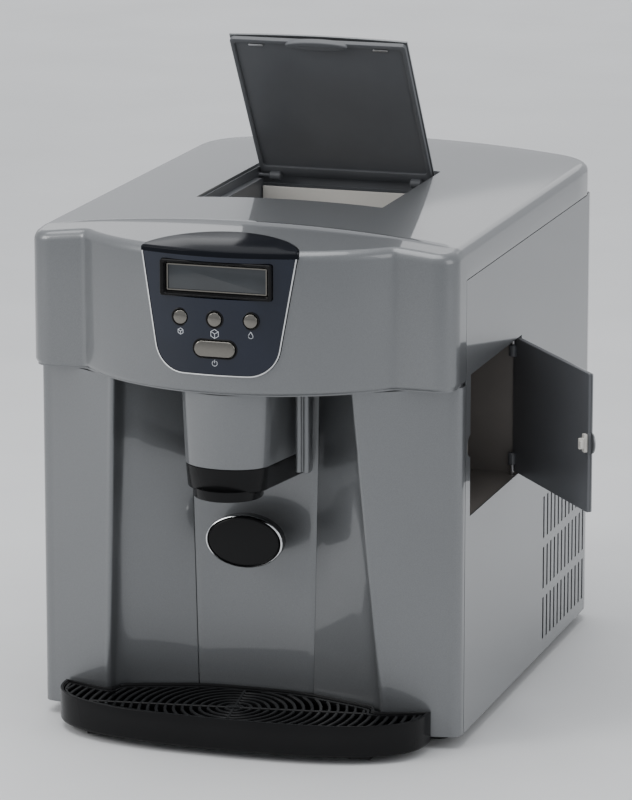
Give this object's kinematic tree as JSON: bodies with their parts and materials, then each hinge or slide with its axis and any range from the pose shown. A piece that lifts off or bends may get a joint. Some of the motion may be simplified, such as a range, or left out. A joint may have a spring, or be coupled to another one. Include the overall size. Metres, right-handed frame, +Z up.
{
  "type": "ice maker",
  "caption": "Countertop ice maker with dispenser nozzle, control panel, hinged top lid and side door, drip tray and cooling works inside, shown with lid and door open.",
  "frame": {"origin": "on the counter, under the middle of the whole object's box with its lid and side door open as stored", "axes": "+Z up, +X to the user's right, +Y towards the rear; the dispenser faces -Y"},
  "size_m": [0.4472, 0.5212, 0.5452],
  "materials": {
    "silver_paint": "metallic silver lacquer with a fine flake",
    "charcoal_plastic": "fine satin grain",
    "black_plastic": "satin moulded",
    "navy_gloss": "gloss dark blue-grey",
    "display_glass": "smoked display window",
    "nickel": "brushed warm nickel plating",
    "chrome": "bright plated",
    "cream_plastic": "food-grade satin",
    "compartment_plastic": "dark brown-grey satin",
    "steel": "drawn",
    "aluminium": "mill finish",
    "copper": "drawn copper tube",
    "compressor_black": "black enamel",
    "clear_tank": "translucent",
    "circuit_green": "solder mask",
    "rubber": "matt",
    "hose": "silicone"
  },
  "bodies": {
    "cabinet": {"base_pan": "black_plastic", "foot_front_left": "rubber", "foot_front_right": "rubber", "foot_rear_left": "rubber", "foot_rear_right": "rubber", "pillar_left": "silver_paint", "pillar_right": "silver_paint", "dispense_panel": "silver_paint", "top_cover": "silver_paint", "side_panel_left": "silver_paint", "side_panel_right": "silver_paint", "rear_panel": "silver_paint", "power_inlet": "black_plastic", "lid_frame": "charcoal_plastic", "door_compartment": "compartment_plastic", "door_hinge_pin_lower": "steel", "door_hinge_pin_upper": "steel", "control_bezel": "navy_gloss", "panel_trim": "chrome", "display_frame": "black_plastic", "display_window": "display_glass", "panel_visor": "navy_gloss", "control_board": "circuit_green", "nozzle_shroud": "silver_paint", "nozzle_ring": "black_plastic", "water_spout": "silver_paint", "paddle_pin": "steel", "paddle_bracket": "black_plastic", "ice_bin": "cream_plastic", "auger_motor": "steel", "ice_chute": "cream_plastic", "evaporator": "aluminium", "tray_motor": "steel", "water_tank": "clear_tank", "water_pump": "black_plastic", "pump_hose": "hose", "spout_hose": "hose", "compressor": "compressor_black", "condenser": "aluminium", "fan_frame": "black_plastic", "discharge_tube": "copper", "suction_tube": "copper"},
    "lid": {"lid_skin": "silver_paint", "lid_liner": "charcoal_plastic"},
    "side_door": {"door_skin": "silver_paint", "door_liner": "charcoal_plastic", "door_latch": "cream_plastic"},
    "small_ice_button": {"button_small_ice": "nickel"},
    "large_ice_button": {"button_large_ice": "nickel"},
    "water_button": {"button_water": "nickel"},
    "power_button": {"button_power": "nickel"},
    "paddle": {"dispense_paddle": "black_plastic", "paddle_ring": "chrome"},
    "flap": {"chute_flap": "cream_plastic"},
    "tray": {"drip_tray": "black_plastic"},
    "grille": {"drip_grille": "black_plastic"},
    "auger": {"auger": "steel"},
    "fan": {"fan_rotor": "black_plastic"},
    "freezing_tray": {"water_tray": "charcoal_plastic"},
    "plug": {"drain_plug": "rubber"}
  },
  "joints": [
    {"name": "lid_hinge", "type": "hinge", "parent": "cabinet", "child": "lid", "pos_m": [-0.0456, 0.0886, 0.4105], "axis": [-1, 0, 0], "range_deg": [-56.5, 26]},
    {"name": "side_door_hinge", "type": "hinge", "parent": "cabinet", "child": "side_door", "pos_m": [0.1269, 0.0001, 0.246], "axis": [0, 0, 1], "range_deg": [-38.5, 50]},
    {"name": "small_ice_press", "type": "slide", "parent": "cabinet", "child": "small_ice_button", "axis": [0, 1, 0], "range_m": [0, 0.0015], "stiffness_N_per_m": 300},
    {"name": "large_ice_press", "type": "slide", "parent": "cabinet", "child": "large_ice_button", "axis": [0, 1, 0], "range_m": [0, 0.0015], "stiffness_N_per_m": 300},
    {"name": "water_press", "type": "slide", "parent": "cabinet", "child": "water_button", "axis": [0, 1, 0], "range_m": [0, 0.0015], "stiffness_N_per_m": 300},
    {"name": "power_press", "type": "slide", "parent": "cabinet", "child": "power_button", "axis": [0, 1, 0], "range_m": [0, 0.0015], "stiffness_N_per_m": 300},
    {"name": "paddle_hinge", "type": "hinge", "parent": "cabinet", "child": "paddle", "pos_m": [-0.0456, -0.1363, 0.216], "axis": [1, 0, 0], "range_deg": [0, 4.5], "stiffness_Nm_per_rad": 1, "springref_deg": -2.86},
    {"name": "flap_hinge", "type": "hinge", "parent": "cabinet", "child": "flap", "pos_m": [-0.0456, -0.1474, 0.319], "axis": [-1, 0, 0], "range_deg": [0, 45]},
    {"name": "tray_slide", "type": "slide", "parent": "cabinet", "child": "tray", "axis": [0, -1, 0], "range_m": [0, 0.12]},
    {"name": "grille_lift", "type": "slide", "parent": "tray", "child": "grille", "axis": [0, 0, 1], "range_m": [0, 0.04]},
    {"name": "auger_spin", "type": "hinge", "parent": "cabinet", "child": "auger", "pos_m": [-0.0456, 0.0126, 0.3], "axis": [0, 1, 0], "continuous": true},
    {"name": "fan_spin", "type": "hinge", "parent": "cabinet", "child": "fan", "pos_m": [0.0778, 0.1526, 0.075], "axis": [1, 0, 0], "continuous": true},
    {"name": "freezing_tray_tilt", "type": "hinge", "parent": "cabinet", "child": "freezing_tray", "pos_m": [-0.0456, 0.1826, 0.351], "axis": [1, 0, 0], "range_deg": [0, 60]},
    {"name": "drain_plug_pull", "type": "slide", "parent": "cabinet", "child": "plug", "axis": [0, 1, 0], "range_m": [0, 0.03]}
  ],
  "couplings": [
    {"joint": "flap_hinge", "follows": "paddle_hinge", "ratio": 10}
  ]
}
